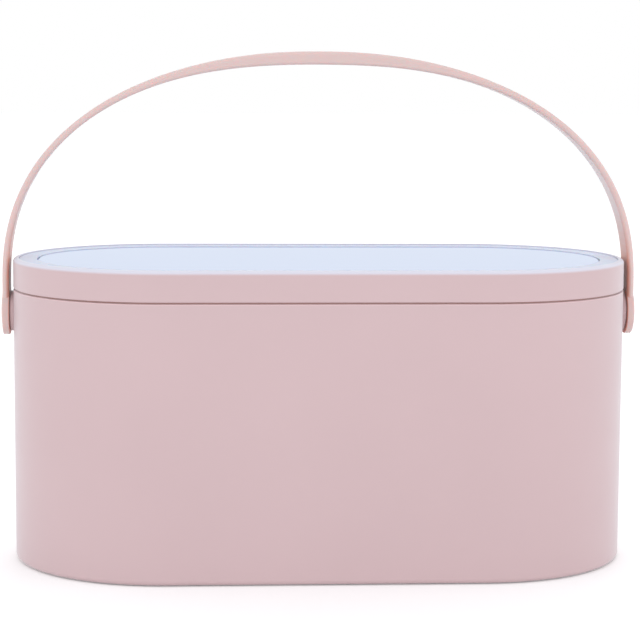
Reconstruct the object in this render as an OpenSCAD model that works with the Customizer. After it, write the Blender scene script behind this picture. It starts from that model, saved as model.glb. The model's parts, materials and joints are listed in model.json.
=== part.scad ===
// Portable make-up case: an oblong tub with a swinging bail handle and a
// lift-off lid that carries a lit mirror and a fold-out stand.
// Millimetres. +X along the length, +Z up, origin on the resting plane under the middle.

/* [Case] */
// Overall length of the case, without the handle
case_len = 259; // [220:1:300]
// Overall depth of the case, front to back
case_depth = 128; // [120:1:150]
// Height of the seam between case and lid
seam_z = 115.4; // [100:0.1:140]
// Wall thickness of the tub
wall = 2.4; // [2:0.1:3]
// Thickness of the tub's floor
floor_t = 2.6; // [2.4:0.1:4]
// How far each side leans in from the rim to the base
draft = 0.2; // [0:0.1:3]
// Outer edge radius round the base
base_r = 2; // [1:0.1:4]
// Height of the shadow line between case and lid
reveal_h = 0.5; // [0.3:0.1:1]
// Depth of the shadow line, measured in from the outer face
reveal_d = 1; // [0.5:0.1:1.4]

/* [Feet] */
// Radius of a rubber foot
foot_r = 7; // [4:0.5:10]
// How far the feet stand out of the floor
foot_out = 0.4; // [0.3:0.1:2]
// Depth of the pocket that a foot is pressed into
foot_pocket = 1; // [0.6:0.1:1.4]
// Distance of the feet from the ends of the case
foot_in_x = 46; // [36:1:60]
// Distance of the feet from the front and back of the case
foot_in_y = 28; // [24:1:40]

/* [Lid] */
// Visible height of the lid
lid_h = 12.6; // [12:0.1:16]
// Width of the rim round the mirror panel
rim_w = 2.4; // [1.8:0.1:3.2]
// Radius on the rim's outer edge
rim_r = 1.8; // [0.5:0.1:1.9]
// How far the panel sits below the rim
panel_drop = 0.5; // [0.2:0.1:1]
// Depth of the lip that goes into the case
lip_h = 4.2; // [3:0.1:4.4]
// Thickness of the lip
lip_t = 2; // [1.6:0.1:2.4]
// Free space between the lip and the tub
lip_gap = 0.4; // [0.2:0.1:0.6]

/* [Mirror light] */
// Width of the frosted light ring
ring_w = 7.5; // [6:0.1:10]
// Thickness of the frosted light ring
ring_t = 2.5; // [2:0.1:3]
// Thickness of the mirror glass
mirror_t = 2; // [1.5:0.1:2.4]
// Gap between the mirror and the light ring
mirror_gap = 0.3; // [0.1:0.1:0.6]
// Number of lamps on the strip
lamp_count = 44; // [12:2:60]

/* [Stand] */
// Length of the fold-out stand, from its pin to its free end
stand_len = 68; // [40:1:72]
// Width of the fold-out stand
stand_w = 84; // [50:1:90]
// Thickness of the stand, and the radius of the barrel round its pin
stand_t = 3; // [2.5:0.1:4]
// Radius of the stand's pin
stand_pin_r = 1.5; // [1:0.1:1.6]
// Distance of the stand's pin behind the middle
stand_y = 30; // [26:1:36]

/* [Handle] */
// How far the pivots lie below the seam
pivot_drop = 10.4; // [10.2:0.1:20]
// Length of the straight part of each arm, up from the pivot
arm_h = 12.6; // [8:0.1:16]
// Height above the pivots at which the arms pass into the arch
arm_top = 32; // [30:1:40]
// Height of the handle's crown above the pivots
handle_h = 109.6; // [80:0.1:140]
// Thickness of the arms
arm_t = 2.8; // [2:0.1:3]
// Width of the arms and the grip
arm_w = 16; // [14:0.5:19]
// Thickness of the grip at the crown
grip_t = 5.5; // [3:0.1:8]
// How square the arch is: 2 is an ellipse
arch_power = 2.28; // [2.2:0.02:2.6]
// Radius of the round pad at the end of each arm
pad_r = 10; // [9.6:0.1:11]
// Thickness of the round pad
pad_t = 3; // [3:0.1:4]

/* [Pivot] */
// Radius of the pivot pin
pin_r = 3; // [2.5:0.1:3.4]
// Running clearance round the pivot pin and the stand's pin
pin_gap = 0.05; // [0.02:0.01:0.1]
// Fitting clearance of the pivot pin in the tub's bore
seat_gap = 0.02; // [0.01:0.01:0.05]
// Radius of the pivot pin's head
head_r = 6.5; // [5:0.1:8]
// Thickness of the pivot pin's head
head_t = 1.7; // [1.4:0.1:2]
// Depth of the recess that takes the pin's head
head_sink = 1.2; // [0.6:0.1:1.6]
// Radius of the boss on the outside of the tub
boss_r = 8.5; // [7.6:0.1:9]
// How far the boss stands out of the end of the tub
boss_out = 1.1; // [0.4:0.1:1.5]
// Thickness of the friction washer between boss and handle
washer_t = 0.2; // [0.2:0.1:0.5]

/* [Hidden] */
$fn = 96;
eps = 0.02;                          // overshoot that joins or cuts cleanly
over = 1;                            // overshoot of through holes
part_gap = 0.2;                      // assembly clearance between fitted parts
edge = 0.4;                          // small chamfer on outer edges

// case
straight = case_len - case_depth;    // straight part of the oblong
half_d = case_depth / 2;
end_x = case_len / 2;
tub_z = foot_out;                    // underside of the tub
floor_z = tub_z + floor_t;
inner_r = half_d - wall;             // inner wall at the rim
base_in_r = 2.5;                     // inner edge radius round the floor
foot_x = end_x - foot_in_x;
foot_y = half_d - foot_in_y;

// lid levels, from the top down
lid_top = seam_z + lid_h;
rim_edge_r = min(rim_r, rim_w - edge);
panel_z = lid_top - panel_drop;
panel_r = half_d - rim_w;
ring_r = panel_r - part_gap;
ring_in_r = ring_r - ring_w;
mirror_r = ring_in_r - mirror_gap;
carrier_t = 1.2;
carrier_z = panel_z - 6.5;           // underside of the mirror carrier
plate_z = panel_z - mirror_t - carrier_t;
ledge_t = 1.2;
ledge_w = 2.4;
web_t = 1.6;                         // step from the lid's wall in to its lip
lip_r = inner_r - lip_gap;
lip_in_r = lip_r - lip_t;
lip_z = seam_z - lip_h;
tray_r = lip_in_r - part_gap;
tray_t = 2;
tray_z = lip_z - tray_t;             // underside of the lid's tray
tray_top = lip_z;
tray_wall = 1.6;
tray_rim_z = seam_z - 0.8;

// seal in the lip
seal_t = 1.2;
seal_h = 1.6;
seal_z = lip_z + 1.4;
seal_out = lip_gap - 0.15;

// lamps
strip_r = (mirror_r + ring_r - carrier_t) / 2;
strip_w = ring_r - carrier_t - mirror_r - 4 * part_gap;
strip_t = 0.3;
strip_z = carrier_z + carrier_t;
lamp = [3.5, 2.8, 0.8];
bend_len = PI * strip_r;             // length of the strip round one end
lamp_run = 2 * (straight + bend_len);

// circuit board, socket and touch pad
socket = [9, 7.2, 3.2];
socket_gap = 0.3;
socket_mouth = lip_in_r - 2 * part_gap;
socket_wall = 0.35;
socket_back = 2;
socket_tongue = [6.6, 4, 0.7];
board = [46, 20, 1.2];
board_z = seam_z - 0.4;
board_top = board_z + board[2];
board_y = socket_mouth - 1 - board[1] / 2;
chip_x = 12;
chip_y = -4;
coil_y = -6;
main_chip = [7, 7, 1.2];
charge_chip = [5, 4, 1];
coil = [6, 3, 1.6];
peg_x = 19;
peg_y = 6;
peg_r = 1;
standoff_r = 2.2;
touch_r = 7;
touch_t = 0.3;
touch_y = -30;

// battery
battery = [60, 36, 6];
battery_x = 54 - end_x;
foam_t = 1;
fence_t = 1.4;
fence_h = 3;
fence_gap = 16;
lead_r = 0.7;
lead_pitch = 4;
lead_bend = 8;
battery_lead_x = -12;
lamp_lead_x = 14;

// lid screws
screw_end = 18;                      // end screws, in from the ends
screw_in_x = 58;                     // corner screws, in from the ends and sides
screw_in_y = 20;
screw_back_x = -30;                  // the one beside the board
screw_front_y = 16;                  // the one in the middle of the front
screw_spots = [
    for (x = [screw_end - end_x, end_x - screw_end]) [x, 0],
    for (x = [screw_in_x - end_x, end_x - screw_in_x], y = [screw_in_y - half_d, half_d - screw_in_y]) [x, y],
    [screw_back_x, half_d - screw_in_y],
    [0, screw_front_y - half_d]
];
screw_r = 1.3;
screw_head_r = 2.6;
screw_head_t = 1.6;
screw_len = 8;
screw_tip = 0.8;
post_r = 3.2;
pilot_gap = 0.1;

// stand
barrel_r = stand_t;
stand_z = tray_z - barrel_r - 0.8;   // height of the stand's pin
lug_w = 5;
lug_x = stand_w / 2 + 0.3;
stand_corner = 10;
bumper_r = 3;
bumper_t = 0.5;

// pivots, from the tub outwards
pivot_z = seam_z - pivot_drop;
end_play = 0.05;
boss_face = end_x + boss_out;
pad_face = boss_face + washer_t + end_play;
pad_outer = pad_face + pad_t;
recess_x = pad_outer - head_sink;
head_x = recess_x + end_play;
// and from the tub inwards
seat_r = pin_r + 2.2;
seat_x = end_x - wall - 0.6;         // flat seat inside the tub
backing_t = 0.8;
clip_t = 0.8;
clip_r = pin_r + 1.6;
groove_r = pin_r - 0.6;
clip_mouth = 2 * groove_r - 1.4;
backing_x = seat_x - backing_t;
clip_x = backing_x - clip_t;
pin_end = clip_x - 1;
pin_edge = 0.5;

// handle arch, along the middle of its thickness
arm_x = pad_face + pad_t / 2;
arch_z = pivot_z + arm_h;
arch_h = handle_h - grip_t / 2 - arm_h;
arch_steps = 60;
grip_power = 14;                     // how tightly the thick grip is gathered at the crown

pink = [0.83, 0.72, 0.73];
white = [0.95, 0.95, 0.96];
steel = [0.75, 0.76, 0.78];
black = [0.12, 0.12, 0.13];
rubber = [0.35, 0.33, 0.34];

// ---------- shared shapes ----------

function arc(c, r, from, to, n = 8) =
    [for (i = [0:n]) c + r * [cos(from + (to - from) * i / n), sin(from + (to - from) * i / n)]];

// Sweeps a profile round the oblong: its x is the distance from the centre line, its y the height.
module around() {
    for (turn = [0, 180])
        rotate([0, 0, turn]) translate([straight / 2, 0, 0]) rotate([0, 0, -90])
            rotate_extrude(angle = 180) children();
    for (side = [0, 1])
        mirror([0, side, 0]) rotate([90, 0, 90]) translate([0, 0, -straight / 2])
            linear_extrude(straight) children();
}

module both_ends() {
    for (turn = [0, 180]) rotate([0, 0, turn]) children();
}

// A disc or ring whose axis lies along X, through the pivots.
module disc_x(r, x, t, hole = 0) {
    translate([x, 0, pivot_z]) rotate([0, 90, 0]) difference() {
        cylinder(r = r, h = t);
        if (hole > 0) translate([0, 0, -over]) cylinder(r = hole, h = t + 2 * over);
    }
}

// A rod along X, centred on the middle of the case.
module rod_x(r, len, y, z) {
    translate([-len / 2, y, z]) rotate([0, 90, 0]) cylinder(r = r, h = len);
}

// Round lead along points of one level.
module lead(path, r, z) {
    sides = 10;
    last = len(path) - 1;
    rings = [for (i = [0:last])
        let (a = path[max(i - 1, 0)], b = path[min(i + 1, last)], d = (b - a) / norm(b - a))
        for (k = [0:sides - 1])
            let (t = 360 * k / sides)
            [path[i][0] - d[1] * r * cos(t), path[i][1] + d[0] * r * cos(t), z + r * sin(t)]];
    polyhedron(points = rings, faces = concat(
        [[for (i = [0:sides - 1]) i]],
        [for (k = [0:last - 1], i = [0:sides - 1])
            [k * sides + i, (k + 1) * sides + i, k * sides + (i + 1) % sides]],
        [for (k = [0:last - 1], i = [0:sides - 1])
            [k * sides + (i + 1) % sides, (k + 1) * sides + i, (k + 1) * sides + (i + 1) % sides]],
        [[for (i = [sides - 1:-1:0]) last * sides + i]]
    ));
}

// ---------- case ----------

function tub_r(z) = half_d - draft * (seam_z - z) / (seam_z - tub_z);

module tub_profile() {
    low = seam_z - reveal_h;
    polygon(concat(
        [[0, tub_z]],
        arc([tub_r(tub_z) - base_r, tub_z + base_r], base_r, -90, 0),
        [[half_d, low - edge], [half_d - edge, low], [half_d - reveal_d, low], [half_d - reveal_d, seam_z],
         [inner_r, seam_z]],
        arc([tub_r(floor_z) - wall - base_in_r, floor_z + base_in_r], base_in_r, 0, -90),
        [[0, floor_z]]
    ));
}

module foot_places() {
    for (x = [-foot_x, foot_x], y = [-foot_y, foot_y]) translate([x, y, 0]) children();
}

module case_shell() {
    color(pink) difference() {
        union() {
            around() tub_profile();
            both_ends() {
                disc_x(boss_r, end_x - wall, wall + boss_out);
                disc_x(seat_r, seat_x, wall);
            }
        }
        both_ends() disc_x(pin_r + seat_gap, seat_x - over, boss_face - seat_x + 2 * over);
        foot_places() translate([0, 0, tub_z - over]) cylinder(r = foot_r, h = foot_pocket + over);
    }
}

module rubber_feet() {
    r = foot_r - part_gap;
    bevel = min(edge, foot_out);
    top = foot_out + foot_pocket;
    color(rubber) foot_places() rotate_extrude()
        polygon([[0, 0], [r - bevel, 0], [r, bevel], [r, top], [0, top]]);
}

// ---------- pivots ----------

module pivot_pin() {
    head_top = head_x + head_t;
    color(steel) translate([0, 0, pivot_z]) rotate([0, 90, 0]) rotate_extrude() polygon([
        [0, pin_end], [pin_r - pin_edge, pin_end], [pin_r, pin_end + pin_edge], [pin_r, clip_x],
        [groove_r, clip_x], [groove_r, backing_x], [pin_r, backing_x],
        [pin_r, head_x], [head_r, head_x], [head_r, head_top - pin_edge],
        [head_r - pin_edge, head_top], [0, head_top]
    ]);
}

module backing_washers() {
    color(steel) both_ends() disc_x(seat_r, backing_x, backing_t, pin_r + part_gap / 2);
}

module pin_clips() {
    color(steel) both_ends() difference() {
        disc_x(clip_r, clip_x, clip_t, groove_r + pin_gap);
        translate([clip_x - over, -clip_mouth / 2, pivot_z - clip_r - over])
            cube([clip_t + 2 * over, clip_mouth, clip_r + over]);
    }
}

module friction_washers() {
    color(white) both_ends() disc_x(boss_r - 1, boss_face, washer_t, pin_r + part_gap / 2);
}

// ---------- handle ----------

// Middle line of the arch at a turn of 0 to 180 degrees, as [x, z].
function arch_point(t) = [
    arm_x * sign(cos(t)) * pow(abs(cos(t)), 2 / arch_power),
    arch_z + arch_h * pow(sin(t), 2 / arch_power)
];
function arch_normal(t) =
    let (a = arch_point(max(t - 0.5, 0)), b = arch_point(min(t + 0.5, 180)), d = (b - a) / norm(b - a))
    [d[1], -d[0]];
function half_t(t) = (arm_t + (grip_t - arm_t) * pow(sin(t), grip_power)) / 2;
function arch_side(side) =
    [for (i = [0:arch_steps]) let (t = 180 * i / arch_steps) arch_point(t) + side * half_t(t) * arch_normal(t)];

module strap() {
    outer = arm_x + arm_t / 2;
    inner = arm_x - arm_t / 2;
    inside = arch_side(-1);
    rotate([90, 0, 0]) translate([0, 0, -arm_w / 2]) linear_extrude(arm_w) polygon(concat(
        [[outer, pivot_z]], arch_side(1), [[-outer, pivot_z], [-inner, pivot_z]],
        [for (i = [arch_steps:-1:0]) inside[i]], [[inner, pivot_z]]
    ));
}

// Everything on the right below the level where the arms pass into the arch.
module arm_zone() {
    translate([0, -arm_w, pivot_z - pad_r - over]) cube([pad_outer + over, 2 * arm_w, arm_top + pad_r + over]);
}

module handle() {
    color(pink) difference() {
        strap();
        both_ends() arm_zone();
    }
}

module handle_arm() {
    color(pink) difference() {
        union() {
            intersection() {
                strap();
                arm_zone();
            }
            disc_x(pad_r, pad_face, pad_t);
        }
        disc_x(pin_r + pin_gap, pad_face - over, pad_t + 2 * over);
        disc_x(head_r + part_gap, recess_x, head_sink + over);
    }
}

// ---------- lid ----------

module lid_frame() {
    slot_w = socket[0] + 2 * socket_gap;
    slot_h = socket[2] + 2 * socket_gap;
    color(pink) difference() {
        around() polygon(concat(
            [[lip_in_r, lip_z], [lip_r - edge, lip_z], [lip_r, lip_z + edge], [lip_r, seam_z],
             [half_d - edge, seam_z], [half_d, seam_z + edge]],
            arc([half_d - rim_edge_r, lid_top - rim_edge_r], rim_edge_r, 0, 90),
            [[panel_r, lid_top], [panel_r, carrier_z], [panel_r - ledge_w, carrier_z],
             [panel_r - ledge_w, carrier_z - ledge_t], [panel_r, carrier_z - ledge_t],
             [panel_r, seam_z + web_t], [lip_in_r, seam_z + web_t]]
        ));
        around() translate([lip_r - seal_t / 2, seal_z - part_gap / 2])
            square([seal_t, seal_h + part_gap]);
        translate([-slot_w / 2, lip_in_r - over, board_top - socket_gap])
            cube([slot_w, half_d - lip_in_r + 2 * over, slot_h]);
    }
}

module lid_seal() {
    back = lip_r - seal_t / 2;
    color(rubber) around() polygon([
        [back, seal_z], [lip_r, seal_z], [lip_r + seal_out, seal_z + seal_h / 2],
        [lip_r, seal_z + seal_h], [back, seal_z + seal_h]
    ]);
}

module light_ring() {
    bevel = part_gap;
    color([0.9, 0.93, 0.97]) around() polygon([
        [ring_in_r, panel_z - ring_t], [ring_r, panel_z - ring_t], [ring_r, panel_z - bevel],
        [ring_r - bevel, panel_z], [ring_in_r + bevel, panel_z], [ring_in_r, panel_z - bevel]
    ]);
}

module mirror_glass() {
    bevel = part_gap;
    color([0.85, 0.9, 0.96]) around() polygon([
        [0, panel_z - mirror_t], [mirror_r, panel_z - mirror_t], [mirror_r, panel_z - bevel],
        [mirror_r - bevel, panel_z], [0, panel_z]
    ]);
}

// White moulding that carries the mirror on a raised plate and the lamps in a channel round it.
module mirror_carrier() {
    wall_r = ring_r - carrier_t;
    color(white) difference() {
        union() {
            around() polygon([
                [0, plate_z], [mirror_r - carrier_t, plate_z], [mirror_r - carrier_t, carrier_z],
                [ring_r, carrier_z], [ring_r, panel_z - ring_t], [wall_r, panel_z - ring_t],
                [wall_r, strip_z], [mirror_r, strip_z], [mirror_r, panel_z - mirror_t],
                [0, panel_z - mirror_t]
            ]);
            for (p = screw_spots)
                translate([p[0], p[1], tray_top]) cylinder(r = post_r, h = plate_z - tray_top + eps);
        }
        for (p = screw_spots)
            translate([p[0], p[1], tray_top - over]) cylinder(r = screw_r + pilot_gap, h = screw_len + over);
        lamp_lead_places() translate([0, 0, carrier_z - over])
            cylinder(r = lead_r + part_gap / 2, h = carrier_t + 2 * over);
    }
}

module lamp_strip() {
    color([0.9, 0.9, 0.85]) around() translate([strip_r - strip_w / 2, strip_z]) square([strip_w, strip_t]);
}

// Places children on the lamp strip's middle line, at a distance s from the start of its back run.
module along_strip(s) {
    half = s % (lamp_run / 2);
    rotate([0, 0, s < lamp_run / 2 ? 0 : 180]) translate([-straight / 2, 0, 0])
        if (half < straight) translate([straight - half, strip_r, 0]) children();
        else rotate([0, 0, (half - straight) / bend_len * 180]) translate([0, strip_r, 0]) children();
}

module lamps() {
    color([0.98, 0.93, 0.6]) for (i = [0:lamp_count - 1])
        along_strip((i + 0.5) * lamp_run / lamp_count)
            translate([-lamp[0] / 2, -lamp[1] / 2, strip_z + strip_t]) cube(lamp);
}

module touch_pad() {
    color([0.8, 0.5, 0.3]) translate([0, touch_y, plate_z - touch_t]) cylinder(r = touch_r, h = touch_t);
}

module peg_places() {
    for (x = [-peg_x, peg_x], y = [-peg_y, peg_y]) translate([x, board_y + y, 0]) children();
}

module lid_tray() {
    color(pink) difference() {
        union() {
            around() polygon([
                [0, tray_z], [tray_r - edge, tray_z], [tray_r, tray_z + edge], [tray_r, tray_rim_z],
                [tray_r - tray_wall, tray_rim_z], [tray_r - tray_wall, tray_top], [0, tray_top]
            ]);
            battery_fence();
            peg_places() translate([0, 0, tray_top - eps]) {
                cylinder(r = standoff_r, h = board_z - tray_top + eps);
                cylinder(r = peg_r, h = board_top - tray_top + eps + 0.5);
            }
            stand_lugs();
        }
        for (p = screw_spots)
            translate([p[0], p[1], tray_z - over]) cylinder(r = screw_r + part_gap, h = tray_t + 2 * over);
        rod_x(stand_pin_r, 2 * (lug_x + lug_w + over), stand_y, stand_z);
    }
}

// Low fence that keeps the battery in place, with a gap for its leads.
module battery_fence() {
    inner = [battery[0] + 2 * part_gap, battery[1] + 2 * part_gap];
    translate([battery_x, 0, tray_top - eps]) linear_extrude(fence_h + eps) difference() {
        square(inner + 2 * [fence_t, fence_t], center = true);
        square(inner, center = true);
        translate([0, -fence_gap / 2]) square([inner[0], fence_gap]);
    }
}

// Two ears under the tray that hold the stand's pin.
module stand_lugs() {
    for (side = [0, 1]) mirror([side, 0, 0]) translate([lug_x, stand_y, stand_z]) {
        rotate([0, 90, 0]) cylinder(r = barrel_r, h = lug_w);
        translate([0, -barrel_r, 0]) cube([lug_w, 2 * barrel_r, tray_z - stand_z + eps]);
    }
}

module control_board() {
    color([0.2, 0.45, 0.3]) difference() {
        translate([-board[0] / 2, board_y - board[1] / 2, board_z]) cube(board);
        peg_places() translate([0, 0, board_z - over])
            cylinder(r = peg_r + part_gap / 2, h = board[2] + 2 * over);
    }
}

module board_chips() {
    color(black) for (c = [[-chip_x, chip_y, main_chip], [chip_x, chip_y, charge_chip], [0, coil_y, coil]])
        translate([c[0] - c[2][0] / 2, board_y + c[1] - c[2][1] / 2, board_top]) cube(c[2]);
}

// Steel shell, open towards the back, with a contact tongue inside.
module charging_socket() {
    color(steel) translate([0, socket_mouth - socket[1], board_top]) {
        difference() {
            translate([-socket[0] / 2, 0, 0]) cube(socket);
            translate([-socket[0] / 2 + socket_wall, socket_back, socket_wall])
                cube([socket[0] - 2 * socket_wall, socket[1], socket[2] - 2 * socket_wall]);
        }
        translate([-socket_tongue[0] / 2, socket_back - eps, (socket[2] - socket_tongue[2]) / 2])
            cube(socket_tongue);
    }
}

module battery_cell() {
    color([0.75, 0.77, 0.8])
        translate([battery_x - battery[0] / 2, -battery[1] / 2, tray_top + foam_t]) cube(battery);
}

module battery_foam() {
    color(black) translate([battery_x - battery[0] / 2, -battery[1] / 2, tray_top])
        cube([battery[0], battery[1], foam_t]);
}

// Two leads from the battery's end to the board's front edge.
module battery_leads() {
    start_x = battery_x + battery[0] / 2;
    board_edge = board_y - board[1] / 2;
    color([0.7, 0.15, 0.15]) for (i = [0, 1]) {
        x = battery_lead_x - lead_pitch * i;
        y = lead_pitch * (i - 0.5);
        bend = arc([x - lead_bend, y + lead_bend], lead_bend, -90, 0);
        lead(concat([[start_x, y]], bend, [[x, board_edge]]), lead_r, board_z + board[2] / 2);
    }
}

module lamp_lead_places() {
    for (x = [lamp_lead_x, lamp_lead_x + lead_pitch]) translate([x, board_y + board[1] / 2 - 2, 0]) children();
}

// Two stiff leads from the board up to the lamp strip.
module lamp_leads() {
    color(white) lamp_lead_places() translate([0, 0, board_top]) cylinder(r = lead_r, h = strip_z - board_top);
}

module lid_screws() {
    tip_z = tray_z + screw_len;
    color(steel) for (p = screw_spots) translate([p[0], p[1], 0]) rotate_extrude() polygon([
        [0, tray_z - screw_head_t], [screw_head_r - edge, tray_z - screw_head_t],
        [screw_head_r, tray_z - screw_head_t + edge], [screw_head_r, tray_z], [screw_r, tray_z],
        [screw_r, tip_z - screw_tip], [screw_r - screw_tip, tip_z], [0, tip_z]
    ]);
}

// ---------- stand ----------

module stand_outline() {
    half_w = stand_w / 2;
    polygon(concat(
        [[half_w, 0], [-half_w, 0]],
        arc([stand_corner - half_w, stand_corner - stand_len], stand_corner, 180, 270),
        arc([half_w - stand_corner, stand_corner - stand_len], stand_corner, 270, 360)
    ));
}

module fold_out_stand() {
    color(pink) difference() {
        union() {
            rod_x(barrel_r, stand_w, stand_y, stand_z);
            translate([0, stand_y, stand_z]) linear_extrude(stand_t) stand_outline();
        }
        rod_x(stand_pin_r + pin_gap, stand_w + 2 * over, stand_y, stand_z);
    }
}

module stand_pin() {
    color(steel) rod_x(stand_pin_r, 2 * (lug_x + lug_w), stand_y, stand_z);
}

// Small rubber pads under the stand's free edge.
module stand_bumpers() {
    color(rubber) for (side = [-1, 1])
        translate([side * (stand_w / 2 - stand_corner), stand_y - stand_len + stand_corner, stand_z - bumper_t])
            cylinder(r = bumper_r, h = bumper_t);
}

// ---------- nodes ----------

case_shell();
rubber_feet();
pivot_pin();  // pivot_pin_right
rotate([0, 0, 180]) pivot_pin();  // pivot_pin_left
backing_washers();
pin_clips();
friction_washers();
handle();
handle_arm();  // handle_arm_right
rotate([0, 0, 180]) handle_arm();  // handle_arm_left
lid_frame();
lid_seal();
light_ring();
mirror_glass();
mirror_carrier();
lamp_strip();
lamps();
touch_pad();
lid_tray();
control_board();
board_chips();
charging_socket();
battery_cell();
battery_foam();
battery_leads();
lamp_leads();
lid_screws();
fold_out_stand();
stand_pin();
stand_bumpers();
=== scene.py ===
"""Oblong make-up case with a bail handle: the finished pieces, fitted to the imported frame."""
import json
from math import atan2, cos, pi, radians, sin, tan

import bmesh
import bpy
from bpy.props import FloatProperty, FloatVectorProperty, IntProperty, PointerProperty
from bpy.types import Operator, Panel, PropertyGroup
from mathutils import Matrix, Vector


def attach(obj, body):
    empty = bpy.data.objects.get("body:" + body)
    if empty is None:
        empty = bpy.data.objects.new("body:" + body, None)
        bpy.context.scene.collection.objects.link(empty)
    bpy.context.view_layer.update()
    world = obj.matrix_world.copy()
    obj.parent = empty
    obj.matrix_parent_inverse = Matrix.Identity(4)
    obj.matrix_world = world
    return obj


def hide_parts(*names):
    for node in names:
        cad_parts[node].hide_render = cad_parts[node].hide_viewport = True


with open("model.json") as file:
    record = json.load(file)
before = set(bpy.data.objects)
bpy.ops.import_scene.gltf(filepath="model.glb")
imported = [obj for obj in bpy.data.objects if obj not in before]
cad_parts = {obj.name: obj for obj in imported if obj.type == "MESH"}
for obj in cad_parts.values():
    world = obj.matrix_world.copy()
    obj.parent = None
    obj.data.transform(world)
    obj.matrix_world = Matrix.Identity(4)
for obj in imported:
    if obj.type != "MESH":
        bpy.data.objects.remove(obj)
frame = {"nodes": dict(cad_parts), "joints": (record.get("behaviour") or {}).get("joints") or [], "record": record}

bl_info = {
    "name": "Make-up case",
    "version": (1, 0, 0),
    "blender": (4, 5, 0),
    "location": "3D View > Sidebar > Make-up case",
    "description": "Models and finishes an oblong make-up case with a bail handle and a mirror lid",
    "category": "Add Mesh",
}

MM = 0.001
MERGE = 0.002 * MM                      # vertices closer than this are one
SMOOTH_BELOW = radians(34)              # edges flatter than this are shaded smooth
CRISP = 0.1 * MM                        # radius of an edge that looks sharp
EASED = 0.3 * MM                        # radius of an edge that is just taken off

PIVOT_Z = frame["joints"][0]["pos_m"][2]


def length(name, description, default):
    """A length that a user may change; its default is given in millimetres."""
    return FloatProperty(name=name, description=description, default=default * MM, unit="LENGTH", precision=5)


def colour(name, description, default):
    """A colour that a user may change."""
    return FloatVectorProperty(name=name, description=description, default=default, subtype="COLOR", size=3,
                               min=0, max=1)


# ---------- sizes and colours ----------

class CaseSizes(PropertyGroup):
    length: length("Case length", "Length of the case without its handle", 259)
    depth: length("Case depth", "Depth of the case, front to back", 128)
    seam: length("Seam height", "Height of the seam between case and lid", 115.4)
    base: length("Base height", "Height of the tub's underside above the table", 0.4)
    draft: length("Draft", "How far the sides lean in towards the base", 0.2)
    wall: length("Wall", "Wall thickness of the tub", 2.4)
    floor: length("Floor", "Thickness of the tub's floor", 2.6)
    base_round: length("Base rounding", "Rounding round the tub's base", 2)
    floor_round: length("Floor rounding", "Rounding where the floor meets the wall inside", 2.5)
    groove_height: length("Shadow line height", "Height of the groove under the lid", 0.7)
    groove_depth: length("Shadow line depth", "Depth of the groove under the lid", 1)
    groove_round: length("Shadow line rounding", "Rounding of the tub's edge behind the groove", 0.15)
    tub_edge: length("Tub edge", "Rounding of the tub's upper outer edge", 0.5)
    end_steps: IntProperty(name="End steps", description="Faces round each half-round end", default=64,
                           min=16)


class LidSizes(PropertyGroup):
    height: length("Lid height", "Visible height of the lid", 12.6)
    rim: length("Rim width", "Width of the rim round the panel", 2.4)
    rim_round: length("Rim rounding", "Rounding of the lid's upper outer edge", 1.8)
    panel_drop: length("Panel drop", "How far the panel lies below the rim", 0.5)
    lip: length("Lip depth", "How far the lip reaches into the case", 4.2)
    lip_wall: length("Lip wall", "Thickness of the lip", 2)
    lip_gap: length("Lip gap", "Space between lip and tub", 0.4)
    seal_depth: length("Seal groove depth", "Depth of the lip's groove for the seal", 0.6)
    seal_low: length("Seal groove place", "Height of the groove above the lip's lower edge", 1.3)
    seal_height: length("Seal groove height", "Height of the lip's groove for the seal", 1.8)
    deck: length("Deck height", "Height above the seam of the step between lip and side", 1.6)
    ledge_drop: length("Ledge drop", "Depth of the ledge below the panel", 6.5)
    ledge_width: length("Ledge width", "Width of the ledge that carries the mirror", 2.4)
    ledge_thickness: length("Ledge thickness", "Thickness of the ledge", 1.2)
    ring: length("Light ring width", "Width of the frosted light ring", 7.5)
    ring_thickness: length("Light ring thickness", "Thickness of the frosted light ring", 2.5)
    mirror_thickness: length("Mirror thickness", "Thickness of the mirror glass", 2)
    mirror_drop: length("Mirror drop", "How far the mirror lies below the light ring", 0.3)
    mirror_bevel: length("Mirror bevel", "Width of the mirror's ground edge", 0.6)
    mirror_edge: length("Mirror edge", "Depth of the mirror's ground edge", 0.35)
    ring_gap: length("Assembly gap", "Space round the light ring", 0.2)
    mirror_gap: length("Mirror gap", "Space between mirror and light ring", 0.3)


class HandleSizes(PropertyGroup):
    crown: length("Crown height", "Height of the handle's crown above the pivots", 109.6)
    arm: length("Arm height", "Straight part of each arm above the pivots", 12.6)
    arm_thickness: length("Arm thickness", "Thickness of the strap at the arms", 2.8)
    grip_thickness: length("Grip thickness", "Thickness of the strap at the crown", 5.5)
    width: length("Strap width", "Width of the strap, front to back", 16)
    edge_round: length("Strap rounding", "Rounding of the strap's long edges", 1.35)
    pad_radius: length("Pad radius", "Radius of the round pad on each pivot", 10)
    pad_inner: length("Pad inner face", "Distance of the pad's inner face from the middle", 130.85)
    pad_thickness: length("Pad thickness", "Thickness of the round pad", 3)
    pad_round: length("Pad rounding", "Rounding of the pad's edges", 0.5)
    recess_radius: length("Recess radius", "Radius of the recess for the pin's head", 6.7)
    recess_depth: length("Recess depth", "Depth of the recess for the pin's head", 1.2)
    bore: length("Bore radius", "Radius of the pivot bore", 3.05)
    # the arms' painted shade and bounce light fades out between these heights
    bounce_shade_top: length("Warm height", "Height above the pivots where the arms' inner tint has gone", 45)
    bounce_shade_fade: length("Warm fade", "Height over which the arms' inner tint goes", 25)
    squareness: FloatProperty(name="Squareness", description="2 is an ellipse, more is squarer", default=2.28)
    gather: FloatProperty(name="Grip gather", description="How tightly the thick grip keeps to the crown",
                          default=14)


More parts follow.
